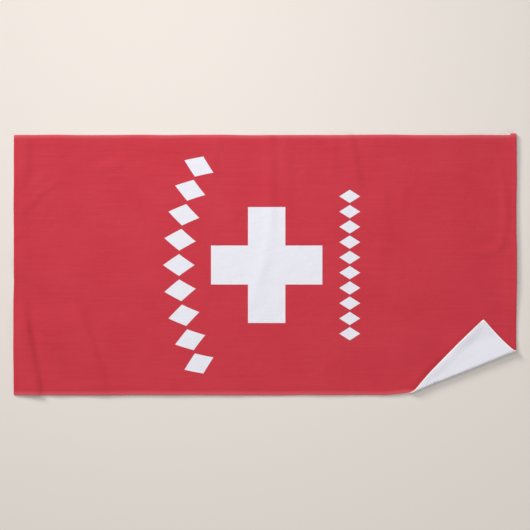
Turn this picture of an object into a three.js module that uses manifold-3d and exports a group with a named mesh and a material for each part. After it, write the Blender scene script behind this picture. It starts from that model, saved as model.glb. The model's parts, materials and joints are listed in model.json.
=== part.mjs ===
// A beach towel of printed terry cloth, lying flat with one corner turned over.
// Millimetres, +Z up. The origin is under the middle of the towel, at the height of the floor.
// +X runs along the towel, and the corner at +X -Y is the one that is turned over.
//
// The whole cloth is first laid out flat: a panel, four hems and two threads in each hem.
// It is then cut at the fold. What lies beyond the cut hangs on a hinge in the fold's outer skin,
// and a soft roll in two halves joins it to the rest.

import * as THREE from 'three';
import { mergeVertices } from 'three/addons/utils/BufferGeometryUtils.js';
import Module from 'manifold-3d';

// ---- Driving dimensions -------------------------------------------------------------------

const towelLength = 1524; // over both side hems
const towelWidth = 790; // over the front and back hems
const clothThickness = 2.5; // pile, ground weave and loops
const hemWidth = 19;
const hemThickness = 5; // three layers, pressed together by the stitches
const stitchInset = 16; // from the towel's edge to the seam
const threadDiameter = 0.9;
const threadEndInset = 2; // bare hem beyond each end of a seam
const turnedFrontLength = 341; // of the front edge, what the fold takes
const turnedRightLength = 136; // of the right edge, what the fold takes
const rollRadius = 8; // to the outside of the roll
const rollEndInset = 1; // the roll's ends stop this far inside the towel's edges
const touchGap = 0.3; // between pieces that meet
const restGap = 0.5; // between the turned corner's tip and the cloth under it

const hemEdgeSteps = 8; // facets round a hem's outer edge
const rollSteps = 10; // facets round each half of the roll
const threadSides = 8;

// ---- The fold, worked out from them -------------------------------------------------------

// Fold coordinates have their origin where the fold leaves the front edge. x runs along the fold,
// y points back over the towel, and z is up. The roll's outermost line is at y = 0.
const foldLength = Math.hypot(turnedFrontLength, turnedRightLength);
const foldTurn = Math.atan2(turnedRightLength, turnedFrontLength);
const cornerAlong = turnedFrontLength * Math.cos(foldTurn);
const cornerReach = turnedFrontLength * Math.sin(foldTurn);

// The turned corner slopes down from the top of the roll until its tip meets the cloth.
const midRadius = rollRadius - clothThickness / 2;
const tipReach = cornerReach + rollRadius - Math.PI * midRadius;
const tipDrop = 2 * rollRadius - hemThickness - clothThickness - restGap;
const restSlope = Math.asin(tipDrop / tipReach);
const rollTurn = Math.PI + restSlope;
const rollCloth = rollTurn * midRadius; // the cloth's length round the roll

// The hinge lies just outside the roll, half way round it, so the two halves open like a book.
const hingeOffset = touchGap / 2;
const hingeHeight = rollRadius + (rollRadius + hingeOffset) * Math.tan(restSlope / 2);

const foldFrame = new THREE.Group();
foldFrame.position.set(towelLength / 2 - turnedFrontLength, -towelWidth / 2, 0);
foldFrame.rotation.z = foldTurn;
foldFrame.updateMatrixWorld(true);

// The turned corner is made flat in fold coordinates and swung over by this group. Opened flat,
// it starts as far beyond the hinge as the roll starts before it.
const openShift = 2 * hingeOffset + 2 * rollRadius - rollCloth;
const cornerHinge = new THREE.Group();
cornerHinge.position.set(0, -hingeOffset, hingeHeight);
cornerHinge.rotation.x = -rollTurn;
foldFrame.add(cornerHinge);

// ---- Solids -------------------------------------------------------------------------------

const wasm = await Module();
wasm.setup();

function solidFrom(geometry) {
  const bare = geometry.clone();
  bare.deleteAttribute('normal');
  bare.deleteAttribute('uv');
  const merged = mergeVertices(bare);
  return new wasm.Manifold(
    new wasm.Mesh({
      numProp: 3,
      vertProperties: new Float32Array(merged.attributes.position.array),
      triVerts: new Uint32Array(merged.index.array),
    }),
  );
}

function geometryFrom(solid) {
  const { vertProperties, triVerts } = solid.getMesh();
  const geometry = new THREE.BufferGeometry();
  geometry.setAttribute('position', new THREE.BufferAttribute(vertProperties, 3));
  geometry.setIndex(new THREE.BufferAttribute(triVerts, 1));
  geometry.computeVertexNormals();
  return geometry;
}

// A block that holds everything on one side of a line along the fold, in the towel's own frame.
function blockBeside(lineY, side) {
  const reach = 2 * (towelLength + towelWidth);
  const block = new THREE.BoxGeometry(reach, reach, reach);
  block.translate(0, lineY + (side * reach) / 2, 0);
  block.applyMatrix4(foldFrame.matrixWorld);
  return solidFrom(block);
}

const fieldBlock = blockBeside(rollRadius + touchGap, 1);
const cornerBlock = blockBeside(rollRadius - rollCloth - touchGap, -1);

// ---- The cloth laid out flat --------------------------------------------------------------

function flatPanel() {
  const inset = hemWidth + touchGap;
  const panel = new THREE.BoxGeometry(towelLength - 2 * inset, towelWidth - 2 * inset, clothThickness);
  panel.translate(0, 0, clothThickness / 2);
  return panel;
}

// A hem's section: x is the distance in from the edge and y the height. The outer edge is round
// where the cloth turns back, and a groove above and below holds the thread.
function hemSection() {
  const round = hemThickness / 2;
  const grooveHalf = threadDiameter / 2 + touchGap;
  const grooveDepth = threadDiameter + touchGap;
  const section = new THREE.Shape();
  section.moveTo(hemWidth, 0);
  section.lineTo(hemWidth, hemThickness);
  section.lineTo(stitchInset + grooveHalf, hemThickness);
  section.lineTo(stitchInset + grooveHalf, hemThickness - grooveDepth);
  section.lineTo(stitchInset - grooveHalf, hemThickness - grooveDepth);
  section.lineTo(stitchInset - grooveHalf, hemThickness);
  section.lineTo(round, hemThickness);
  section.absarc(round, round, round, Math.PI / 2, (3 * Math.PI) / 2, false);
  section.lineTo(stitchInset - grooveHalf, 0);
  section.lineTo(stitchInset - grooveHalf, grooveDepth);
  section.lineTo(stitchInset + grooveHalf, grooveDepth);
  section.lineTo(stitchInset + grooveHalf, 0);
  section.closePath();
  return section;
}

// A hem runs along Y, with its outer edge at x = 0 and the cloth towards +X.
function flatHem(run) {
  const hem = new THREE.ExtrudeGeometry(hemSection(), {
    depth: run,
    bevelEnabled: false,
    curveSegments: hemEdgeSteps,
  });
  hem.translate(0, 0, -run / 2);
  hem.rotateX(Math.PI / 2);
  return hem;
}

function flatThread(run, height) {
  const radius = threadDiameter / 2;
  const thread = new THREE.CylinderGeometry(radius, radius, run - 2 * threadEndInset, threadSides);
  thread.translate(stitchInset, 0, height);
  return thread;
}

// ---- Materials ----------------------------------------------------------------------------

const printedPile = { color: 0xc03a48, roughness: 0.95, metalness: 0 };
const whiteTerry = { color: 0xe6e6ee, roughness: 0.95, metalness: 0 };
const needleThread = { color: 0xb23542, roughness: 0.6, metalness: 0 };
const bobbinThread = { color: 0xf0f0f2, roughness: 0.6, metalness: 0 };

function addMesh(parent, name, geometry, finish) {
  const mesh = new THREE.Mesh(geometry, new THREE.MeshStandardMaterial(finish));
  mesh.name = name;
  parent.add(mesh);
  return mesh;
}

// ---- The towel ----------------------------------------------------------------------------

const towel = new THREE.Group();
towel.add(foldFrame);

function addField(name, flat, finish) {
  addMesh(towel, name, geometryFrom(solidFrom(flat).intersect(fieldBlock)), finish);
}

function addTurnedCorner(name, flat, finish) {
  const corner = geometryFrom(solidFrom(flat).intersect(cornerBlock));
  corner.applyMatrix4(foldFrame.matrixWorld.clone().invert());
  corner.translate(0, hingeOffset - openShift, -hingeHeight);
  addMesh(cornerHinge, name, corner, finish);
}

addField('terry_field', flatPanel(), printedPile);
addTurnedCorner('terry_corner', flatPanel(), whiteTerry);

// The side hems are turned last, so they run the whole width, and the other two fit between them.
const betweenRun = towelLength - 2 * (hemWidth + touchGap);
const edges = [
  { name: 'left', turn: 0, x: -towelLength / 2, y: 0, run: towelWidth, folded: false },
  { name: 'right', turn: Math.PI, x: towelLength / 2, y: 0, run: towelWidth, folded: true },
  { name: 'front', turn: Math.PI / 2, x: 0, y: -towelWidth / 2, run: betweenRun, folded: true },
  { name: 'back', turn: -Math.PI / 2, x: 0, y: towelWidth / 2, run: betweenRun, folded: false },
];

for (const edge of edges) {
  const pieces = [
    { name: 'hem', flat: flatHem(edge.run), finish: printedPile },
    {
      name: 'needle_thread',
      flat: flatThread(edge.run, hemThickness - threadDiameter / 2),
      finish: needleThread,
    },
    {
      name: 'bobbin_thread',
      flat: flatThread(edge.run, threadDiameter / 2),
      finish: bobbinThread,
    },
  ];
  for (const piece of pieces) {
    piece.flat.rotateZ(edge.turn);
    piece.flat.translate(edge.x, edge.y, 0);
    addField(`${edge.name}_${piece.name}`, piece.flat, piece.finish);
    if (edge.folded) {
      addTurnedCorner(`corner_${edge.name}_${piece.name}`, piece.flat, piece.finish);
    }
  }
}

// ---- The roll between them ----------------------------------------------------------------

// Half of the roll, from one angle to another, counted from where the cloth leaves the floor.
// Its two ends follow the towel's front and right edges round the bend.
function rollHalf(fromTurn, toTurn) {
  const positions = [];
  const index = [];
  const frontSlant = cornerAlong / cornerReach;
  const rightSlant = (foldLength - cornerAlong) / cornerReach;
  for (let step = 0; step <= rollSteps; step += 1) {
    const turn = fromTurn + ((toTurn - fromTurn) * step) / rollSteps;
    const beyond = turn * midRadius - rollRadius;
    const ends = [frontSlant * beyond + rollEndInset, foldLength - rightSlant * beyond - rollEndInset];
    for (const radius of [rollRadius, rollRadius - clothThickness]) {
      for (const x of ends) {
        positions.push(x, rollRadius - radius * Math.sin(turn), rollRadius - radius * Math.cos(turn));
      }
    }
  }
  // Each section has four corners: outer front, outer right, inner front, inner right.
  const addQuad = (a, b, c, d) => index.push(a, c, b, a, d, c);
  for (let step = 0; step < rollSteps; step += 1) {
    const near = 4 * step;
    const far = near + 4;
    addQuad(near, far, far + 1, near + 1);
    addQuad(near + 2, near + 3, far + 3, far + 2);
    addQuad(near, near + 2, far + 2, far);
    addQuad(near + 1, far + 1, far + 3, near + 3);
  }
  const last = 4 * rollSteps;
  addQuad(0, 1, 3, 2);
  addQuad(last, last + 2, last + 3, last + 1);
  const geometry = new THREE.BufferGeometry();
  geometry.setAttribute('position', new THREE.Float32BufferAttribute(positions, 3));
  geometry.setIndex(index);
  geometry.computeVertexNormals();
  return geometry;
}

const gapTurn = touchGap / 2 / (rollRadius - clothThickness);
addMesh(foldFrame, 'roll_lower', rollHalf(0, rollTurn / 2 - gapTurn), printedPile);
addMesh(foldFrame, 'roll_upper', rollHalf(rollTurn / 2 + gapTurn, rollTurn), whiteTerry);

export default towel;
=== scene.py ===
# %% [markdown]
# # A beach towel with one corner turned over
# The object is one sheet of terry cloth: a short printed pile on its face, white loops on its
# back, and a double-turned hem on each side that two sewing threads hold down.
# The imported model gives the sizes, the place of the fold and the two bodies that move: the
# field, which lies on the floor, and the turned corner, which swings open round the fold.
# Everything here is made flat first, in the cloth's own coordinates, and then laid into place
# by one function. The print, the weave and the seams then follow the cloth by themselves.

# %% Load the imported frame
import json
import math

import bpy
import numpy as np
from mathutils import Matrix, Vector


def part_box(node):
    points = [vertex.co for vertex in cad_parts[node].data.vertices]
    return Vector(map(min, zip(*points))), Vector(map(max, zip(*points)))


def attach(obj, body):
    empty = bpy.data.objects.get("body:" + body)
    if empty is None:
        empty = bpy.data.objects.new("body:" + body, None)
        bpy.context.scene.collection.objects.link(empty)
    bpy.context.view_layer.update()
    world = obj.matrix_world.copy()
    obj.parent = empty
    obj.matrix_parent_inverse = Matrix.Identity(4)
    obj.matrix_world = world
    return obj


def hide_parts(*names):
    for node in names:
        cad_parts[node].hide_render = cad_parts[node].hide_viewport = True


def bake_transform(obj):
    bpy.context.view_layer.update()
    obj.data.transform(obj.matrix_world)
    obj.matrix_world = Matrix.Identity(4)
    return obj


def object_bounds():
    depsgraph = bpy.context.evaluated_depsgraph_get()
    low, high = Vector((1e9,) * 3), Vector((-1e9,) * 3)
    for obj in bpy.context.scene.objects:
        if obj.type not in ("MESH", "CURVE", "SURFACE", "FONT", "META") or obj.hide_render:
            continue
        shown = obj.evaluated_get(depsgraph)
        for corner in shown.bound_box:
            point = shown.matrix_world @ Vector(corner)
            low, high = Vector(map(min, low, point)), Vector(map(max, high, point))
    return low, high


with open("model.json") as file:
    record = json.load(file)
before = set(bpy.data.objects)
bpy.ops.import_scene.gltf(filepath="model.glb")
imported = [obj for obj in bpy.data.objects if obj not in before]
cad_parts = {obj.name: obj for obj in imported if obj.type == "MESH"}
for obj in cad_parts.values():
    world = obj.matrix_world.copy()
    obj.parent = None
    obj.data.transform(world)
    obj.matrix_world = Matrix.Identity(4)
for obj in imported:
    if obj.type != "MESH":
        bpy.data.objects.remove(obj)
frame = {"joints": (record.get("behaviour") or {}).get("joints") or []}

MM = 0.001
cad_low, cad_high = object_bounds()
print("CAD box, mm:", [round(x / MM, 1) for x in (*cad_low, *cad_high)])

# %% [markdown]
# ## Sizes
# A beginner may be tempted to type the towel's sizes in again. They are read from the frame
# instead, so the cloth made here can't drift away from the solids that it stands for.

# %% Read the sizes from the frame
def span(node, axis):
    """A CAD node's extent along X, Y or Z, which are 0, 1 and 2."""
    low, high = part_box(node)
    return high[axis] - low[axis]


half_length = cad_high.x
half_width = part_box("back_hem")[1].y
hem_width = span("left_hem", 0)
cloth_thickness = span("terry_field", 2)
turned_thickness = 0.5 * (span("left_hem", 2) - cloth_thickness)
thread_low, thread_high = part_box("left_needle_thread")
seam_inset = (thread_low.x + thread_high.x) / 2 - cad_low.x

fold_joint = frame["joints"][0]
hinge = Vector(fold_joint["pos_m"])
along = Vector(fold_joint["axis"]).normalized()
outward = along.cross(Vector((0, 0, 1)))
print(f"cloth {cloth_thickness / MM:.1f} mm, hem {hem_width / MM:.1f} mm wide,",
      f"seam {seam_inset / MM:.1f} mm in, hinge {hinge.z / MM:.1f} mm up")

# %% [markdown]
# ## Camera
# The towel is seen from straight above. A long lens, well back, keeps its edges parallel. The
# camera could aim through a constraint, but a plain location and no rotation already look
# straight down with +Y at the top of the picture.

# %% Put the camera above the towel
frame_width = 1.606  # what the picture takes in, in metres, at the floor
lens_mm = 85
camera_data = bpy.data.cameras.new("camera_above")
camera_data.lens = lens_mm
camera_data.clip_end = 100
camera = bpy.data.objects.new("camera_above", camera_data)
camera.location = (0, 0, frame_width * lens_mm / camera_data.sensor_width)
bpy.context.scene.collection.objects.link(camera)
bpy.context.scene.camera = camera
print(f"camera {camera.location.z:.2f} m above the floor")

# %% [markdown]
# ## Floor and light
# A pale warm floor shows the cloth's soft shadow. One wide light comes from the upper left at a
# low slant, so that the cloth's edges and creases read. A fill card at the lower right, a dim
# light overhead and a pale world keep the shadows open. Area lights are chosen because their
# size sets how soft a shadow's edge is.

# %% Node helpers
def new_material(name):
    """An empty node material with its output, its node tree and a Principled shader."""
    material = bpy.data.materials.new(name)
    material.use_nodes = True
    tree = material.node_tree
    tree.nodes.clear()
    shader = tree.nodes.new("ShaderNodeBsdfPrincipled")
    output = tree.nodes.new("ShaderNodeOutputMaterial")
    tree.links.new(shader.outputs["BSDF"], output.inputs["Surface"])
    return material, tree, shader


def feed(tree, socket, value):
    """Links another node's output to a socket, or sets a plain number or colour on it."""
    if isinstance(value, bpy.types.NodeSocket):
        tree.links.new(value, socket)
    else:
        socket.default_value = value


def maths(tree, operation, first, second=0.0, clamp=False):
    node = tree.nodes.new("ShaderNodeMath")
    node.operation = operation
    node.use_clamp = clamp
    feed(tree, node.inputs[0], first)
    feed(tree, node.inputs[1], second)
    return node.outputs[0]


def blend_colours(tree, share, first, second):
    node = tree.nodes.new("ShaderNodeMix")
    node.data_type = "RGBA"
    feed(tree, node.inputs["Factor"], share)
    feed(tree, node.inputs["A"], first)
    feed(tree, node.inputs["B"], second)
    return node.outputs["Result"]


def scaled_noise(tree, coordinates, scale, detail=2.0, stretch=(1, 1, 1)):
    """Noise from 0 to 1, with its grain stretched along the axes."""
    mapping = tree.nodes.new("ShaderNodeMapping")
    mapping.inputs["Scale"].default_value = stretch
    tree.links.new(coordinates, mapping.inputs["Vector"])
    noise = tree.nodes.new("ShaderNodeTexNoise")
    noise.inputs["Scale"].default_value = scale
    noise.inputs["Detail"].default_value = detail
    tree.links.new(mapping.outputs["Vector"], noise.inputs["Vector"])
    return noise.outputs["Fac"]


def bump(tree, height, distance, strength=1.0, under=None):
    node = tree.nodes.new("ShaderNodeBump")
    node.inputs["Strength"].default_value = strength
    node.inputs["Distance"].default_value = distance
    tree.links.new(height, node.inputs["Height"])
    if under is not None:
        tree.links.new(under, node.inputs["Normal"])
    return node.outputs["Normal"]


print("node helpers ready")

# %% Make the floor and the lights
floor_side = 8.0
floor_drop = 0.3 * MM  # just clear of the cloth's underside
floor_colour = (0.79, 0.735, 0.68, 1)
bpy.ops.mesh.primitive_plane_add(size=floor_side, location=(0, 0, -floor_drop))
floor = bpy.context.object
floor.name = "studio_floor"
floor_material, _, floor_shader = new_material("pale_floor")
floor_shader.inputs["Base Color"].default_value = floor_colour
floor_shader.inputs["Roughness"].default_value = 0.9
floor.data.materials.append(floor_material)


def area_light(name, place, aim, size, power, colour):
    data = bpy.data.lights.new(name, "AREA")
    data.size = size
    data.energy = power
    data.color = colour
    light = bpy.data.objects.new(name, data)
    light.location = place
    light.rotation_mode = "QUATERNION"
    light.rotation_quaternion = (Vector(aim) - Vector(place)).to_track_quat("-Z", "Y")
    bpy.context.scene.collection.objects.link(light)
    return light


area_light("window_side", place=(-8.8, 8.1, 4.7), aim=(0, 0, 0),
           size=3.7, power=1500, colour=(1.0, 0.98, 0.95))
area_light("fill_card", place=(5.0, -5.0, 3.2), aim=(0, 0, 0),
           size=3.0, power=185, colour=(1.0, 0.97, 0.93))
area_light("overhead", place=(-0.3, 0.85, 1.8), aim=(-0.1, 0.3, 0),
           size=1.2, power=15, colour=(1.0, 0.99, 0.98))
world_colour = (0.93, 0.95, 1.0, 1)
world_strength = 0.28
world = bpy.data.worlds.new("pale_world")
world.use_nodes = True
background = world.node_tree.nodes["Background"]
background.inputs["Color"].default_value = world_colour
background.inputs["Strength"].default_value = world_strength
bpy.context.scene.world = world
bpy.context.scene.view_settings.view_transform = "Standard"
print("floor", floor_side, "m wide, three lights and a pale world")

# %% [markdown]
# ## The section of the fold
# Seen end-on, the cloth runs flat along the floor, turns over in a soft roll, slopes down and
# settles on the cloth below. Such a line is easiest to make from its curvature: how fast it
# turns at each step along its length. Adding the turns up gives the heading, and adding the
# headings up gives the line, so the cloth keeps its length round the bend without any effort.

# %% Draw the fold's section from its curvature
def smooth(x):
    """0 below 0, 1 above 1, and a soft ramp between."""
    x = np.clip(x, 0, 1)
    return x * x * (3 - 2 * x)


def soft_block(x, start, length, ramp):
    """1 from start to start + length, with a ramp at each end inside it."""
    return smooth((x - start) / ramp) * smooth((start + length - x) / ramp)


section_step = 0.1 * MM
lead_in = 52 * MM  # where the cloth starts to rise, before the bend
lead_slope = math.radians(5)
slope_down = math.radians(8)
settle_length = 34 * MM
ramp_share = 0.3  # of the roll's length, at each end of it
rest_gap = 0.3 * MM
section_reach = 260 * MM  # beyond the turned corner's tip
distance = np.arange(-lead_in, section_reach, section_step)


def section_line(roll_length, straight_run):
    """The cloth's middle line: how far out, how high and which way it heads at each step."""
    ramp = ramp_share * roll_length
    turn_rate = (math.pi + slope_down - lead_slope) / (roll_length - ramp)
    settle_start = roll_length + straight_run
    settle_rate = slope_down / (settle_length - settle_length / 3)
    lead_rate = lead_slope / (lead_in - lead_in / 3)
    curvature = lead_rate * soft_block(distance, -lead_in, lead_in, lead_in / 3)
    curvature += turn_rate * soft_block(distance, 0, roll_length, ramp)
    curvature -= settle_rate * soft_block(distance, settle_start, settle_length, settle_length / 3)
    heading = np.cumsum(curvature) * section_step
    out = np.cumsum(np.cos(heading)) * section_step
    up = cloth_thickness / 2 + np.cumsum(np.sin(heading)) * section_step
    return out, up, heading


# A first roll of any length shows how high a roll rises for its length. The wanted one follows.
trial_length = 24 * MM
trial_run = 60 * MM
out, up, heading = section_line(trial_length, trial_run)
outermost = int(np.argmax(heading > math.pi / 2))
lead_rise = float(np.interp(0, distance, up)) - cloth_thickness / 2
roll_rise = up[outermost] - cloth_thickness / 2 - lead_rise
rise_wanted = hinge.z - cloth_thickness / 2 - lead_rise
roll_length = trial_length * rise_wanted / roll_rise
out, up, heading = section_line(roll_length, 0)
height_to_lose = up[-1] - (1.5 * cloth_thickness + rest_gap)
out, up, heading = section_line(roll_length, height_to_lose / math.sin(slope_down))
outermost = int(np.argmax(heading > math.pi / 2))

# The hinge lies in the roll's outer skin, so the section is moved until its outermost point
# is there. Out is counted from the hinge from now on.
out = out - out[outermost] - cloth_thickness / 2
bend_start = float(np.interp(0, distance, out))
hinge_distance = distance[outermost]
highest = int(np.argmax(up))
landed = roll_length + height_to_lose / math.sin(slope_down)
print(f"roll {roll_length / MM:.1f} mm long, {up.max() / MM:.1f} mm high,",
      f"settles {-out[-1] / MM:.0f} mm back at {up[-1] / MM:.2f} mm")

# %% Press the roll down towards the front edge
# The roll is a cone more than a tube: pinched where the fold leaves the front edge, and wider
# where it leaves the right edge. The change is nil at the hinge and where the corner lands.
# A little is taken off everywhere, so that the corner still lies flat when it is opened.
pressed_by = 0.4 * MM
pinched_by = 2.6 * MM
fold_length = math.hypot(cad_high.x - hinge.x, span("roll_lower", 1))


def cone_rise(line, beyond):
    share = smooth(line / fold_length)
    rise = -pressed_by - pinched_by * (1 - share)
    upward = smooth((beyond - hinge_distance) / (distance[highest] - hinge_distance))
    return rise * upward * (1 - smooth((beyond - distance[highest]) / (landed - distance[highest])))


print(f"fold about {fold_length / MM:.0f} mm long")

# %% [markdown]
# ## Creases and waves
# A towel never lies dead flat. Long soft creases stay from how it was packed, and low waves
# lift it off the floor here and there. Simulated cloth would make some creases, but not these
# ones in these places, so each is a named line with a width and a height. A slow noise adds
# the rest. All are heights above the floor, so both layers of the fold ride over them.

# %% Smooth noise in plain numpy
lattice_size = 64


def soft_noise(x, y, cell, seed):
    """Noise from -1 to 1 that changes over about one cell, the same on every run."""
    lattice = np.random.default_rng(seed).uniform(-1, 1, (lattice_size, lattice_size))
    middle = (lattice_size - 1) / 2
    gx, gy = np.asarray(x) / cell + middle, np.asarray(y) / cell + middle
    ix, iy = np.floor(gx).astype(int), np.floor(gy).astype(int)
    fx, fy = smooth(gx - ix), smooth(gy - iy)
    ix, jx = ix % lattice_size, (ix + 1) % lattice_size
    iy, jy = iy % lattice_size, (iy + 1) % lattice_size
    near = lattice[ix, iy] * (1 - fx) + lattice[jx, iy] * fx
    far = lattice[ix, jy] * (1 - fx) + lattice[jx, jy] * fx
    return near * (1 - fy) + far * fy


print("noise spread:", round(float(np.ptp(soft_noise(np.linspace(-1, 1, 99), 0, 0.1, 1))), 2))

# %% A crease along a curve
def curve_through(points, steps=6):
    """A smooth curve through a few points, as short straight pieces."""
    p = np.array([points[0], *points, points[-1]], float) * MM
    t = np.linspace(0, 1, steps, endpoint=False)[:, None]
    pieces = []
    for p0, p1, p2, p3 in zip(p[:-3], p[1:-2], p[2:-1], p[3:], strict=True):
        bend = (2 * p0 - 5 * p1 + 4 * p2 - p3) * t**2 + (3 * p1 - p0 - 3 * p2 + p3) * t**3
        pieces.append(p1 + 0.5 * ((p2 - p0) * t + bend))
    return np.concatenate([*pieces, p[-1:]])


crease_ends = 0.3  # the share of a crease's length that fades, at each end
crease_unevenness = 0.35  # how much its height varies along its run
crease_cell = 80 * MM
crease_seed = 41


def crease_height(x, y, points, left, right, height):
    """A ridge along a curve, with its own width on each side, that fades at both ends."""
    curve = curve_through(points)
    starts, steps = curve[:-1], np.diff(curve, axis=0)
    lengths = np.hypot(*steps.T)
    before = np.cumsum(lengths) - lengths
    nearest = np.full(np.shape(x), np.inf)
    aside, run = np.zeros_like(nearest), np.zeros_like(nearest)
    for start, step, length, done in zip(starts, steps, lengths, before, strict=True):
        dx, dy = x - start[0], y - start[1]
        share = np.clip((dx * step[0] + dy * step[1]) / length**2, 0, 1)
        away = np.hypot(dx - share * step[0], dy - share * step[1])
        side = np.sign(dy * step[0] - dx * step[1])
        closer = away < nearest
        nearest = np.where(closer, away, nearest)
        aside = np.where(closer, side * away, aside)
        run = np.where(closer, done + share * length, run)
    share = run / lengths.sum()
    fade = smooth(share / crease_ends) * smooth((1 - share) / crease_ends)
    own_row = height * points[0][0] * MM  # so that no two creases vary alike
    fade = fade * (1 + crease_unevenness * soft_noise(run, own_row, crease_cell, crease_seed))
    width = np.where(aside > 0, left, right) * MM
    return height * MM * fade * np.exp(-((aside / width) ** 2))


print("a crease curve has", len(curve_through([(0, 0), (9, 9), (20, 9)])), "points")

# %% Name the creases
# Each is: the points it passes, then its width on the left and on the right of the way it runs,
# and its height, all in millimetres. They run upwards or to the right, so left is the side that
# faces the window. Those that reach an edge start or end well beyond it.
creases = {
    "left_edge_fold": ([(-667, -490), (-689, -372), (-721, -190), (-738, -85)], 42, 11, 6.2),
    "left_edge_swell": ([(-612, -470), (-637, -365), (-661, -281), (-690, -110)], 20, 60, 2.8),
    "lower_left_fold": ([(-471, -440), (-513, -281), (-557, -159), (-588, -60)], 50, 13, 4.3),
    "left_diagonal": ([(-840, 10), (-720, -30), (-640, -72), (-540, -92)], 60, 24, 3.4),
    "upper_left_long": ([(-760, 140), (-704, 193), (-668, 229), (-590, 272)], 20, 12, 1.7),
    "upper_left_short": ([(-730, 205), (-692, 247), (-640, 286)], 14, 11, 1.3),
    "upper_left_edge": ([(-730, 220), (-724, 300), (-730, 470)], 25, 17, 2.2),
    "upper_faint": ([(-530, 268), (-484, 293), (-400, 322)], 18, 13, 1.2),
    "above_the_row": ([(-176, 190), (-156, 300), (-118, 480)], 45, 12, 1.1),
    "beside_the_cross": ([(-135, 110), (-108, 133), (-40, 190)], 18, 12, 0.9),
    "middle_top": ([(19, 60), (20, 200), (17, 520)], 24, 11, 2.2),
    "middle_top_second": ([(66, 60), (68, 200), (62, 520)], 26, 17, 1.4),
    "across_the_cross": ([(-46, -150), (-22, -60), (2, 20), (17, 130)], 22, 16, 1.5),
    "right_of_middle": ([(300, 190), (278, 277), (263, 368), (246, 520)], 30, 10, 2.3),
    "right_of_middle_first": ([(204, 220), (207, 520)], 14, 14, 1.0),
    "long_right": ([(336, -60), (358, 60), (362, 150), (345, 270)], 34, 20, 1.2),
    "long_right_second": ([(418, 90), (414, 260)], 14, 22, 1.1),
    "right_hook": ([(545, 50), (650, 37), (697, 44), (718, 78), (727, 140), (722, 230),
                    (702, 370)], 16, 13, 1.9),
    "right_edge": ([(780, -260), (776, -60), (776, 120), (776, 560)], 34, 30, 4.2),
    "bottom_middle": ([(-96, -520), (-76, -359), (-64, -311), (-36, -220)], 48, 14, 0.7),
    "bottom_ripple": ([(322, -520), (322, -380), (314, -290)], 30, 20, 1.5),
}
beside_the_corner = ([(390, -430), (470, -345), (560, -258), (670, -150)], 26, 24, 1.5)
beside_start = 5 * MM  # how far behind the hinge line that crease starts
beside_ramp = 30 * MM
calm_start = 12 * MM  # behind the hinge line: nearer to it there are no waves
calm_reach = 150 * MM
# Each swell's cell, height and seed.
swells = [(0.33, 2.4 * MM, 3), (0.15, 1.1 * MM, 4), (0.07, 0.4 * MM, 5), (0.032, 0.12 * MM, 6)]
swell_slant = 0.3
mean_lift = 0.3 * MM
lift_softness = 0.8 * MM  # how gently the cloth leaves the floor


def wave_height(x, y):
    """How far the cloth's underside is lifted off the floor at a place on it."""
    lifted = mean_lift + sum(high * soft_noise(x + swell_slant * y, y, cell, seed)
                             for cell, high, seed in swells)
    lifted = np.clip(lifted, 0, None) ** 2 / (np.abs(lifted) + lift_softness)
    for points, left, right, height in creases.values():
        lifted = lifted + crease_height(x, y, points, left, right, height)
    behind = (hinge.x - x) * outward.x + (hinge.y - y) * outward.y
    lifted = lifted * smooth((behind - calm_start) / calm_reach)
    beside = crease_height(x, y, *beside_the_corner)
    return lifted + beside * smooth((behind - beside_start) / beside_ramp)


print(len(creases) + 1, "creases named")

# %% [markdown]
# ## Laying the flat cloth into place
# This is the heart of the lesson. A point of the flat cloth has a place along and across the
# towel, u and v, and a height w above the cloth's back. One function turns that into a place
# in the room. The cloth, its turned hems and every stitch go through it, so they stay together.

# %% The function that lays the cloth
lift_run_out = 40 * MM  # how far in from a hem the cloth comes down to the floor
lift_variation = 14 * MM
lift_cell = 90 * MM
lift_seed = 31


def edge_distance(u, v):
    return np.minimum(half_length - np.abs(u), half_width - np.abs(v))


def hem_lift(u, v):
    """The turned layers lie under the field's edges and lift the cloth by their thickness."""
    run_out = lift_run_out + lift_variation * soft_noise(u, v, lift_cell, lift_seed)
    return turned_thickness * (1 - smooth((edge_distance(u, v) - hem_width) / run_out))


def lay(points, lift):
    """Flat points, an n by 3 array of u, v and w, to places in the room."""
    u, v, w = points.T
    from_hinge_x, from_hinge_y = u - hinge.x, v - hinge.y
    line = from_hinge_x * along.x + from_hinge_y * along.y
    beyond = from_hinge_x * outward.x + from_hinge_y * outward.y - bend_start
    before = np.minimum(beyond + lead_in, 0)
    place_out = before + np.interp(beyond, distance, out)
    place_up = np.interp(beyond, distance, up) + cone_rise(line, beyond)
    turned = np.interp(beyond, distance, heading)
    above = w - cloth_thickness / 2 + lift * (1 - smooth(beyond / roll_length))
    place_out = place_out - np.sin(turned) * above
    place_up = place_up + np.cos(turned) * above
    x = hinge.x + line * along.x + place_out * outward.x
    y = hinge.y + line * along.y + place_out * outward.y
    return np.column_stack([x, y, place_up + wave_height(x, y)])


tip = lay(np.array([[half_length, -half_width, 0.0]]), np.zeros(1))[0]
print("the turned corner's tip lies at, mm:", np.round(tip / MM, 1))

# %% [markdown]
# ## The outline
# Hand-fed hems wander by a millimetre or two, corners are a little round, and the right side
# hem was turned last, so its end sticks out past the back hem. These are small moves of the
# flat cloth in its own plane.

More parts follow.
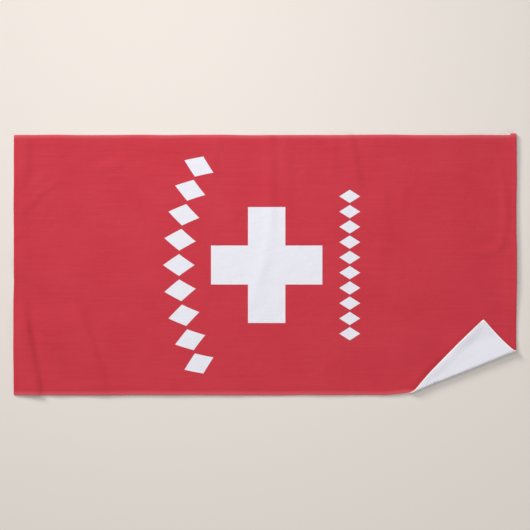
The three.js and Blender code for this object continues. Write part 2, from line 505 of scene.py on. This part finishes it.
# %% Soften the outline
corner_radius = 3.5 * MM
edge_reach = 90 * MM  # how far in from an edge its moves are felt
wander = 1.2 * MM
side_cell, side_seed = 75 * MM, 11
end_cell, end_seed = 85 * MM, 12
hem_end_overshoot = 4.5 * MM
hem_end_reach = 24 * MM
tip_drift = 6 * MM  # the turned corner lies a little askew
tip_start = 25 * MM  # how far beyond the fold it starts to
drawn_in = 7.5 * MM  # the front hem beside the fold
drawn_at, drawn_width = 20 * MM, 55 * MM
side_hollow = 7 * MM  # the turned corner's right side
hollow_at, hollow_width = 90 * MM, 52 * MM
hollow_start = 14 * MM


def soften(u, v):
    """Nominal flat places to the real, slightly uneven ones."""
    over_u = np.maximum(np.abs(u) - (half_length - corner_radius), 0)
    over_v = np.maximum(np.abs(v) - (half_width - corner_radius), 0)
    both = np.hypot(over_u, over_v)
    shrink = np.where(both > 0, np.maximum(over_u, over_v) / np.maximum(both, 1e-9), 1)
    new_u = np.sign(u) * (np.abs(u) - over_u * (1 - shrink))
    new_v = np.sign(v) * (np.abs(v) - over_v * (1 - shrink))
    near_side = smooth(1 - (half_length - np.abs(u)) / edge_reach)
    near_end = smooth(1 - (half_width - np.abs(v)) / edge_reach)
    new_u = new_u + wander * near_side * soft_noise(v, np.sign(u), side_cell, side_seed)
    new_v = new_v + wander * near_end * soft_noise(u, np.sign(v), end_cell, end_seed)
    in_hem = smooth((u - (half_length - hem_width - 2 * MM)) / (3 * MM))
    at_end = smooth((v - (half_width - hem_end_reach)) / hem_end_reach)
    new_v = new_v + hem_end_overshoot * in_hem * at_end
    beyond = (u - hinge.x) * outward.x + (v - hinge.y) * outward.y
    askew = tip_drift * smooth((beyond - tip_start) / edge_reach)
    past_fold = (u - hinge.x - drawn_at) / drawn_width
    drawn = drawn_in * np.exp(-(past_fold**2)) * smooth(1 - (v + half_width) / edge_reach)
    from_tip = (v + half_width - hollow_at) / hollow_width
    hollow = side_hollow * np.exp(-(from_tip**2)) * smooth(1 - (half_length - u) / edge_reach)
    hollow = hollow * smooth(beyond / hollow_start)
    return new_u - askew - hollow, new_v - askew + drawn


print("outline wanders by up to", wander / MM, "mm")

# %% [markdown]
# ## The cloth
# The cloth is one closed mesh: a grid for the face, a grid for the back, and a lip that curls
# round the edge and joins them. Grid lines stand closer together where there is more to show,
# at the seams and in the fold. A modifier could thicken a plain grid instead, but then the
# seam's dip and the lip's curl could not be shaped.

# %% Choose the grid lines
# Distances in from the edge, in millimetres, dense where the seam pulls the cloth in.
hem_lines = [3, 5, 7.5, 10, 12.5, 14, 15, 15.6, 16.4, 17, 18, 19.5, 21.5, 24, 27, 31]
lip_inset = hem_lines[0] * MM
field_step = 6.5 * MM
fold_step = 2.6 * MM


def grid_lines(half, fine_from, fine_to):
    """Lines from edge to edge across the cloth, finer between two places."""
    inner = half - hem_lines[-1] * MM
    lines = [-half + d * MM for d in hem_lines] + [half - d * MM for d in hem_lines]
    at = -inner + field_step
    while at < inner - 0.6 * fold_step:
        lines.append(at)
        at += fold_step if fine_from < at < fine_to else field_step
    return np.array(sorted(lines))


lines_u = grid_lines(half_length, hinge.x - 20 * MM, half_length)
reach_v = hinge.y + span("roll_lower", 1) + 12 * MM  # the fold's far end, and a little more
lines_v = grid_lines(half_width, -half_width, reach_v)
print(len(lines_u), "by", len(lines_v), "grid lines")

# %% Shape the face and the back
pucker_cell, pucker_seed = 11 * MM, 21
pucker_width = 7 * MM
pucker_face, pucker_back, pucker_band = 0.28 * MM, 0.15 * MM, 0.06 * MM
seam_dip, dip_width = 0.2 * MM, 3.2 * MM
hem_puff = 0.3 * MM
puff_from_edge, puff_to_seam = 5 * MM, 12 * MM


def pucker(u, v):
    """The thread gathers the hem a little, in short ripples across the seam."""
    from_side = half_length - np.abs(u)
    from_end = half_width - np.abs(v)
    run = np.where(from_side < from_end, v, u)
    own_row = np.sign(u) + 3 * np.sign(v)  # so that no two sides ripple alike
    ripple = soft_noise(run, own_row, pucker_cell, pucker_seed)
    return ripple * np.exp(-(((edge_distance(u, v) - seam_inset) / pucker_width) ** 2))


def face_height(u, v):
    """The face's height above the cloth's back: pulled in at the seam, puffed up in the hem."""
    inset = edge_distance(u, v)
    dip = seam_dip * np.exp(-(((inset - seam_inset) / dip_width) ** 2))
    puff = smooth(inset / puff_from_edge) * smooth((seam_inset - inset) / puff_to_seam)
    return cloth_thickness - dip + hem_puff * puff + pucker_face * pucker(u, v)


def back_height(u, v):
    return pucker_back * pucker(u, v)


# The lip, from the face round to the back: distance in from the edge and height, in mm.
deep = turned_thickness / MM
lip_curl = [(1.7, 2.35), (0.8, 1.95), (0.25, 1.3), (0.02, 0.5), (0.02, -0.3 * deep),
            (0.3, -0.7 * deep), (0.9, -0.95 * deep), (1.5, -0.94 * deep), (1.3, -0.6 * deep),
            (1.5, -0.25 * deep), (2.2, -0.05)]
print("lip has", len(lip_curl), "rows")

# %% Build the cloth flat
def add_uv_and_attribute(mesh, uv, printed):
    """Cloth places as the UV map, and how much print each vertex takes as an attribute."""
    layer = mesh.uv_layers.new(name="cloth_place")
    loop_vertices = np.zeros(len(mesh.loops), int)
    mesh.loops.foreach_get("vertex_index", loop_vertices)
    layer.data.foreach_set("uv", uv[loop_vertices].astype(np.float32).ravel())
    attribute = mesh.attributes.new("printed", "FLOAT", "POINT")
    attribute.data.foreach_set("value", printed.astype(np.float32))


def new_piece(name, points, faces):
    mesh = bpy.data.meshes.new(name)
    mesh.from_pydata(points.tolist(), [], faces)
    mesh.polygons.foreach_set("use_smooth", np.ones(len(faces), bool))
    mesh.update()
    piece = bpy.data.objects.new(name, mesh)
    bpy.context.scene.collection.objects.link(piece)
    return piece


count_u, count_v = len(lines_u), len(lines_v)
grid_u, grid_v = (g.ravel() for g in np.meshgrid(lines_u, lines_v, indexing="ij"))
number = np.arange(count_u * count_v).reshape(count_u, count_v)
back_shift = count_u * count_v

# The border runs once round the grid, anticlockwise seen from above.
border = np.concatenate([number[:-1, 0], number[-1, :-1], number[:0:-1, -1], number[0, :0:-1]])
border_u, border_v = grid_u[border], grid_v[border]
at_side = np.abs(border_u) > half_length - lip_inset - 1e-6
at_end = np.abs(border_v) > half_width - lip_inset - 1e-6
lip_u, lip_v, lip_w = [], [], []
for inset, height in lip_curl:
    lip_u.append(np.where(at_side, np.sign(border_u) * (half_length - inset * MM), border_u))
    lip_v.append(np.where(at_end, np.sign(border_v) * (half_width - inset * MM), border_v))
    lip_w.append(np.full(len(border), height * MM))
nominal_u = np.concatenate([grid_u, grid_u, *lip_u])
nominal_v = np.concatenate([grid_v, grid_v, *lip_v])
cloth_w = np.concatenate([face_height(grid_u, grid_v), back_height(grid_u, grid_v), *lip_w])

# Quads of the face, the same ones turned over for the back, and rows of quads round the lip.
a, b, c, d = number[:-1, :-1], number[1:, :-1], number[1:, 1:], number[:-1, 1:]
face_quads = np.stack([a, b, c, d], -1).reshape(-1, 4)
back_quads = face_quads[:, ::-1] + back_shift
rows = [border]
for row in range(len(lip_curl)):
    rows.append(2 * back_shift + row * len(border) + np.arange(len(border)))
rows.append(border + back_shift)
lip_quads = []
for upper, lower in zip(rows[:-1], rows[1:], strict=True):
    lip_quads.append(np.stack([upper, lower, np.roll(lower, -1), np.roll(upper, -1)], -1))
quads = np.concatenate([face_quads, back_quads, *lip_quads])

real_u, real_v = soften(nominal_u, nominal_v)
cloth_flat = np.column_stack([real_u, real_v, cloth_w])
cloth = new_piece("terry_cloth", cloth_flat, quads.tolist())
place_uv = np.column_stack([nominal_u + half_length, nominal_v + half_width])
print_fades = [1.0, 0.85, 0.6, 0.3, 0.12, 0.05, 0, 0, 0, 0, 0]
printed = np.concatenate([
    np.ones(back_shift),
    np.zeros(back_shift),
    *[np.full(len(border), share) for share in print_fades],
])
add_uv_and_attribute(cloth.data, place_uv, printed)
print(len(cloth.data.vertices), "vertices,", len(cloth.data.polygons), "faces")

# %% [markdown]
# ## Bending across the fold
# When the corner swings open, points of the cloth before the fold stay with the field and
# points beyond it go with the corner. Here the points are parted while the cloth is still flat,
# where "before" and "beyond" are plain distances; no share between the two bodies is set. A
# beginner may let the change run smoothly over a few millimetres, but the corner swings a little
# past a half turn, and a point that is shared between the two bodies would then swing under the
# ridge and not over it. So the points are parted at the hinge line, none is left in between, and
# the faces there stretch across the ridge. The back is parted more than the face and stays inside
# it when the corner is opened.

# %% Part the points at the hinge line
hinge_flat = hinge + outward * (bend_start + hinge_distance)
face_parting = 0.9 * MM  # how far the face's points keep off the hinge line
back_parting = 1.4 * MM


def lay_across_fold(piece, flat, lift):
    """Parts a flat piece's points at the hinge line, then lays it into place."""
    past_hinge = (flat - np.array(hinge_flat)) @ np.array(outward)
    parting = np.interp(flat[:, 2], [0, cloth_thickness], [back_parting, face_parting])
    near_hinge = np.clip(1 - np.abs(past_hinge) / (3 * parting), 0, 1)
    shift = np.where(past_hinge < 0, -parting, parting) * near_hinge
    flat = flat + np.outer(shift, np.array(outward))
    piece.data.vertices.foreach_set("co", flat.astype(np.float32).ravel())
    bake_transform(piece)
    piece.data.vertices.foreach_set("co", lay(flat, lift).astype(np.float32).ravel())
    piece.data.update()


def lay_on_field(piece, flat, lift):
    piece.data.vertices.foreach_set("co", lay(flat, lift).astype(np.float32).ravel())
    piece.data.update()
    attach(piece, "field")


lay_across_fold(cloth, cloth_flat, hem_lift(nominal_u, nominal_v))
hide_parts("terry_field", "terry_corner", "roll_lower", "roll_upper")
print("cloth laid:", [round(x / MM, 1) for x in cloth.dimensions])

# %% [markdown]
# ## The turned hems
# At each side the cloth is turned under twice and stitched down. On the real towel this is the
# same cloth, seen as a raised band on the back. Each band is a closed strip with a rounded
# inner edge, swept along its side. On the turned corner the bands lie on top, in full view.

# %% Sweep a band along each side
# The band's section: distance in from the edge and height, in millimetres.
band_in = hem_width / MM
band_section = [(1.4, -0.2 * deep), (1.1, -0.5 * deep), (1.6, -0.84 * deep), (3.2, -0.95 * deep),
                (6.0, -0.92 * deep), (9.0, -0.84 * deep), (12.0, -0.72 * deep),
                (14.4, -0.6 * deep), (16.0, -0.52 * deep), (18.0, -0.43 * deep),
                (band_in + 1.5, -0.3 * deep), (band_in + 4, -0.17 * deep),
                (band_in + 7, -0.04 * deep), (band_in + 10, 0.12 * deep),
                (band_in + 13, 0.3 * deep), (band_in + 13, 0.7), (9.0, 0.7)]
band_overlap = 5 * MM  # the front and back bands run in under the side bands
side_band_inset = 1.5 * MM
thinning_run = 38 * MM  # the front and back bands thin towards their ends
thinnest = 0.15

sides = {
    "left": {"axis": 0, "sign": -1, "nodes": ["left_hem"], "folded": False},
    "right": {"axis": 0, "sign": 1, "nodes": ["right_hem", "corner_right_hem"], "folded": True},
    "front": {"axis": 1, "sign": -1, "nodes": ["front_hem", "corner_front_hem"], "folded": True},
    "back": {"axis": 1, "sign": 1, "nodes": ["back_hem"], "folded": False},
}


def side_places(side, run, inset):
    """Nominal u and v of places along a side, a distance in from the edge."""
    if side["axis"] == 0:
        return side["sign"] * (half_length - inset), run
    return run, side["sign"] * (half_width - inset)


def side_run(side, end_inset):
    """Places along a side's whole run, close enough together to follow the fold."""
    half = half_width if side["axis"] == 0 else half_length
    steps = int(2 * half / fold_step)
    return np.linspace(-half + end_inset, half - end_inset, steps)


def sweep_band(name, side):
    end_inset = side_band_inset if side["axis"] == 0 else band_overlap
    run = side_run(side, end_inset)
    from_end = half_length - np.abs(run) - end_inset
    full = 1 if side["axis"] == 0 else smooth(from_end / thinning_run)
    u, v, w = [], [], []
    for inset, height in band_section:
        pu, pv = side_places(side, run, np.full(len(run), inset * MM))
        u.append(pu)
        v.append(pv)
        share = thinnest + (1 - thinnest) * full if height < 0 else 1
        w.append(height * MM * share + pucker_band * pucker(pu, pv))
    u, v, w = np.concatenate(u), np.concatenate(v), np.concatenate(w)
    ring = len(band_section)
    index = np.arange(ring * len(run)).reshape(ring, len(run))
    following = np.roll(index, -1, 0)
    faces = np.stack([index[:, :-1], index[:, 1:], following[:, 1:], following[:, :-1]], -1)
    faces = [list(map(int, quad)) for quad in faces.reshape(-1, 4)]
    ends = [index[:, 0].tolist(), index[::-1, -1].tolist()]
    turned_over = (side["axis"] == 0) == (side["sign"] > 0)
    faces = [face[::-1] for face in faces + ends] if turned_over else faces + ends
    real = np.column_stack([*soften(u, v), w])
    band = new_piece(name, real, faces)
    add_uv_and_attribute(band.data, np.column_stack([u + half_length, v + half_width]),
                         np.zeros(len(u)))
    return band, real, hem_lift(u, v)


hem_bands = []
for name, side in sides.items():
    band, real, lift = sweep_band(f"{name}_hem_band", side)
    (lay_across_fold if side["folded"] else lay_on_field)(band, real, lift)
    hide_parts(*side["nodes"])
    hem_bands.append(band)
    print(band.name, len(band.data.polygons), "faces")

# %% [markdown]
# ## The seams
# A lockstitch is two threads: the needle's on the face and the bobbin's on the back. What
# shows is a row of short stitches, each sunk at both ends where the threads cross. One stitch
# is a small spindle, and a loop repeats it along the seam in the flat cloth.

# %% Sew the seams
stitch_pitch = 3.2 * MM
stitch_length = 2.7 * MM
stitch_radius = 0.36 * MM
stitch_rings = [(-0.5, 0.35, -0.45), (-0.3, 0.85, -0.1), (0, 1, 0.05), (0.3, 0.85, -0.1),
                (0.5, 0.35, -0.45)]  # share along, share of the radius, height in radii
stitch_sides = 6
seam_end_inset = 4 * MM
needle_sink = 0.38 * MM  # how far its middle lies below the face
bobbin_depth = 0.45  # share of the turned layers' thickness


def sew(name, side, height, away):
    """One row of stitches. away is 1 on the face and -1 on the back."""
    half = half_width if side["axis"] == 0 else half_length
    count = int((2 * half - 2 * seam_end_inset) / stitch_pitch)
    middles = (np.arange(count) - (count - 1) / 2) * stitch_pitch
    along_run, inset, up_by = [], [], []
    for share, radius, sunk in stitch_rings:
        for corner in range(stitch_sides):
            angle = 2 * math.pi * corner / stitch_sides
            along_run.append(share * stitch_length)
            inset.append(seam_inset + math.cos(angle) * radius * stitch_radius)
            up_by.append((math.sin(angle) * radius + sunk) * stitch_radius * away)
    run = (middles[:, None] + np.array(along_run)).ravel()
    u, v = side_places(side, run, np.tile(inset, count))
    w = height + np.tile(up_by, count)
    ring = np.arange(stitch_sides)
    one = []
    for step in range(len(stitch_rings) - 1):
        near, far = step * stitch_sides, (step + 1) * stitch_sides
        for corner in range(stitch_sides):
            following = (corner + 1) % stitch_sides
            one.append([near + corner, near + following, far + following, far + corner])
    faces = [[int(i) + k * len(along_run) for i in quad] for k in range(count) for quad in one]
    caps = [ring.tolist(), (ring[::-1] + len(along_run) - stitch_sides).tolist()]
    faces += [[i + k * len(along_run) for i in cap] for k in range(count) for cap in caps]
    mirrored = (side["axis"] == 0) == (side["sign"] > 0)
    if mirrored != (away < 0):
        faces = [face[::-1] for face in faces]
    real = np.column_stack([*soften(u, v), w])
    row = new_piece(name, real, faces)
    add_uv_and_attribute(row.data, np.column_stack([u + half_length, v + half_width]),
                         np.full(len(u), float(away > 0)))
    return row, real, hem_lift(u, v)


seam_rows = {"needle": [], "bobbin": []}
seam_heights = {
    "needle": cloth_thickness - needle_sink,
    "bobbin": -bobbin_depth * turned_thickness,
}
for name, side in sides.items():
    for thread, away in (("needle", 1), ("bobbin", -1)):
        row, real, lift = sew(f"{name}_{thread}_stitches", side, seam_heights[thread], away)
        (lay_across_fold if side["folded"] else lay_on_field)(row, real, lift)
        corner_nodes = [f"corner_{name}_{thread}_thread"] if side["folded"] else []
        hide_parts(f"{name}_{thread}_thread", *corner_nodes)
        seam_rows[thread].append(row)
        print(row.name, len(row.data.polygons) // (4 * stitch_sides + 2), "stitches")

# %% [markdown]
# ## The print
# The face is dyed red and the pattern is the cloth left white. Each shape is a small sum on the
# cloth's own coordinates, which gives edges as sharp as the cloth's grain at any distance. The
# real print has lettering beside the cross. Here plain lozenges fill those two bands instead:
# a bowed row at the left end, and a straight row to the right of the cross.

# %% Draw the print as masks
def cloth_axes(tree):
    """Places on the flat cloth in metres, from its middle, and the raw coordinates."""
    uv = tree.nodes.new("ShaderNodeUVMap")
    uv.uv_map = "cloth_place"
    split = tree.nodes.new("ShaderNodeSeparateXYZ")
    tree.links.new(uv.outputs["UV"], split.inputs["Vector"])
    x = maths(tree, "SUBTRACT", split.outputs["X"], half_length)
    y = maths(tree, "SUBTRACT", split.outputs["Y"], half_width)
    return x, y, uv.outputs["UV"]


edge_softness = 1.1 * MM


def inside(tree, margin):
    """1 where the margin to a shape's edge is positive, with a slightly soft edge."""
    scaled = maths(tree, "DIVIDE", margin, edge_softness)
    return maths(tree, "ADD", scaled, 0.5, clamp=True)


def bar(tree, x, y, half_x, half_y):
    across = maths(tree, "SUBTRACT", half_x, maths(tree, "ABSOLUTE", x))
    along_it = maths(tree, "SUBTRACT", half_y, maths(tree, "ABSOLUTE", y))
    return inside(tree, maths(tree, "MINIMUM", across, along_it))


slant_share = 0.8  # a slanted edge lies nearer than its distance along the run


def lozenge_row(tree, run, across, pitch, count, half_run, half_across):
    """count lozenges along run, each as high as the band, centred on run = 0."""
    shift = 0.5 * (count % 2)
    cell = maths(tree, "ADD", maths(tree, "DIVIDE", run, pitch), shift)
    local = maths(tree, "SUBTRACT", maths(tree, "FRACT", cell), 0.5)
    local = maths(tree, "MULTIPLY", maths(tree, "ABSOLUTE", local), pitch / half_run)
    aside = maths(tree, "DIVIDE", maths(tree, "ABSOLUTE", across), half_across)
    margin = maths(tree, "SUBTRACT", 1.0, maths(tree, "ADD", local, aside))
    shape = inside(tree, maths(tree, "MULTIPLY", margin, half_run * slant_share))
    room = maths(tree, "SUBTRACT", pitch * count / 2, maths(tree, "ABSOLUTE", run))
    return maths(tree, "MULTIPLY", shape, inside(tree, room))


cross_middle = 5 * MM
upright_half = (56.5 * MM, 175.5 * MM)
level_half = (168.5 * MM, 59 * MM)
bow_centre_x = 499 * MM
bow_radius = 760 * MM
bow_turn = math.radians(52)
bow_count = 9
bow_half = (33 * MM, 47.5 * MM)
row_x = 256.5 * MM
row_length = 462 * MM
row_count = 10
row_half = (20 * MM, 31.5 * MM)


def print_mask(tree, x, y):
    """1 where the cloth is left white."""
    cross_x = maths(tree, "SUBTRACT", x, cross_middle)
    upright = bar(tree, cross_x, y, *upright_half)
    level = bar(tree, cross_x, y, *level_half)
    cross = maths(tree, "MAXIMUM", upright, level)
    left_of_centre = maths(tree, "SUBTRACT", bow_centre_x, x)
    squares = maths(tree, "ADD", maths(tree, "POWER", left_of_centre, 2.0),
                    maths(tree, "MULTIPLY", y, y))
    radius = maths(tree, "SQRT", squares)
    run = maths(tree, "MULTIPLY", maths(tree, "ARCTAN2", y, left_of_centre), bow_radius)
    bowed = lozenge_row(tree, run, maths(tree, "SUBTRACT", radius, bow_radius),
                        bow_turn * bow_radius / bow_count, bow_count, *bow_half)
    straight = lozenge_row(tree, y, maths(tree, "SUBTRACT", x, row_x),
                           row_length / row_count, row_count, *row_half)
    return maths(tree, "MAXIMUM", cross, maths(tree, "MAXIMUM", bowed, straight))


print("a cross, a bowed row of", bow_count, "lozenges and a straight row of", row_count)

# %% [markdown]
# ## The printed pile
# Sheared pile is soft and almost without gloss. Three things make it look like cloth and not
# like paint: thin slubs of thicker yarn that run along the towel, a fine mottle where the pile
# leans one way or another, and a grain at the size of the yarns. Each is noise in the cloth's
# own coordinates, stretched along the yarn. Sheen gives the pale light of fibre ends.

# %% Make the printed pile and the white terry
white_cloth = (0.80, 0.80, 0.87, 1)
# Painted highlight: the pale colour that every edge of the cloth turns to, for the light its
# rounded edge catches.
white_edge_highlight = (0.97, 0.95, 0.96, 1)
red_dye = (0.52, 0.022, 0.040, 1)
red_pale = (0.61, 0.054, 0.078, 1)
# Painted highlight: the paler red near the top and bottom ends, where the hems catch the light.
red_edge_highlight = (0.68, 0.11, 0.14, 1)
white_highlight_width = 6 * MM
red_highlight_width = 15 * MM
uneven_depth = 2.0 * MM
slub_depth = 0.55 * MM
face_grain_depth = 0.35 * MM
back_grain_depth = 0.6 * MM
grain_scale = 900  # cycles in a metre, about the pitch of the yarns
cloth_roughness = 0.92
face_sheen, back_sheen = 0.25, 0.5


def weave_normal(tree, uv, grain_depth):
    """Yarn grain over slubs over soft unevenness, as one bumped normal."""
    uneven = bump(tree, scaled_noise(tree, uv, 26, 4), uneven_depth, 0.8)
    slubs = scaled_noise(tree, uv, 1.0, 4, stretch=(14, 240, 1))
    yarn = bump(tree, slubs, slub_depth, 0.8, under=uneven)
    grain = scaled_noise(tree, uv, grain_scale, 1)
    return bump(tree, grain, grain_depth, 0.7, under=yarn)


def edge_highlight_share(tree, inset, width):
    """1 at the cloth's edge and 0 a little way in: a pale band there is painted highlight, the
    light that the edge catches.
    """
    return maths(tree, "SUBTRACT", 1.0, maths(tree, "DIVIDE", inset, width), clamp=True)


def cloth_material(name, dyed):
    material, tree, shader = new_material(name)
    x, y, uv = cloth_axes(tree)
    from_side = maths(tree, "SUBTRACT", half_length, maths(tree, "ABSOLUTE", x))
    from_end = maths(tree, "SUBTRACT", half_width, maths(tree, "ABSOLUTE", y))
    # A pale band along every edge is painted highlight.
    edge_highlight = edge_highlight_share(tree, maths(tree, "MINIMUM", from_side, from_end), white_highlight_width)
    white_with_highlight = blend_colours(tree, edge_highlight, white_cloth, white_edge_highlight)
    colour = white_with_highlight
    if dyed:
        mottle = scaled_noise(tree, uv, 9, 4)
        streaks = scaled_noise(tree, uv, 1.0, 2, stretch=(5, 260, 1))
        tone = maths(tree, "MULTIPLY", maths(tree, "ADD", mottle, streaks), 0.5)
        red = blend_colours(tree, tone, red_dye, red_pale)
        # Painted highlight: the red turns paler near the top and bottom ends.
        red = blend_colours(tree, edge_highlight_share(tree, from_end, red_highlight_width), red, red_edge_highlight)
        printed_here = tree.nodes.new("ShaderNodeAttribute")
        printed_here.attribute_name = "printed"
        bare = maths(tree, "SUBTRACT", 1.0, printed_here.outputs["Fac"])
        white = maths(tree, "MAXIMUM", print_mask(tree, x, y), bare)
        colour = blend_colours(tree, white, red, white_with_highlight)
    feed(tree, shader.inputs["Base Color"], colour)
    shader.inputs["Roughness"].default_value = cloth_roughness
    shader.inputs["Sheen Weight"].default_value = face_sheen if dyed else back_sheen
    shader.inputs["Sheen Roughness"].default_value = 0.45
    shader.inputs["Specular IOR Level"].default_value = 0.15
    normal = weave_normal(tree, uv, face_grain_depth if dyed else back_grain_depth)
    tree.links.new(normal, shader.inputs["Normal"])
    return material


printed_pile = cloth_material("printed_pile", True)
white_terry = cloth_material("white_terry", False)
cloth.data.materials.append(printed_pile)
cloth.data.materials.append(white_terry)
is_back = np.zeros(len(quads), np.int32)
is_back[len(face_quads):len(face_quads) + len(back_quads)] = 1
cloth.data.polygons.foreach_set("material_index", is_back)
for band in hem_bands:
    band.data.materials.append(white_terry)
print("cloth materials:", printed_pile.name, white_terry.name)

# %% [markdown]
# ## The sewing thread
# Spun polyester is smoother than the pile, so each stitch catches a little light. Its twist is
# a fine wave across the stitch, with painted shade between the plies. The needle thread was
# printed with the face.

# %% Make the threads
twist_pitch = 2600  # turns of the thread's plies in a metre
# Painted shade: the thread is made darker between its plies, where shade falls in the twist.
ply_shade = 0.8  # how dark the thread is between its plies
twist_depth = 0.1 * MM


def thread_material(name, colour):
    material, tree, shader = new_material(name)
    place = cloth_axes(tree)[2]
    twist = scaled_noise(tree, place, 1.0, 1, stretch=(twist_pitch, twist_pitch, 1))
    # The twist's dark half is painted shade between the plies.
    ply_shade_colour = tuple(channel * ply_shade for channel in colour[:3]) + (1,)
    feed(tree, shader.inputs["Base Color"], blend_colours(tree, twist, ply_shade_colour, colour))
    shader.inputs["Roughness"].default_value = 0.55
    shader.inputs["Sheen Weight"].default_value = 0.1
    tree.links.new(bump(tree, twist, twist_depth), shader.inputs["Normal"])
    return material


thread_colours = {"needle": (0.56, 0.04, 0.06, 1), "bobbin": (0.82, 0.82, 0.86, 1)}
for thread, rows_of_stitches in seam_rows.items():
    material = thread_material(f"{thread}_thread", thread_colours[thread])
    for row in rows_of_stitches:
        row.data.materials.append(material)
print("threads:", list(thread_colours))
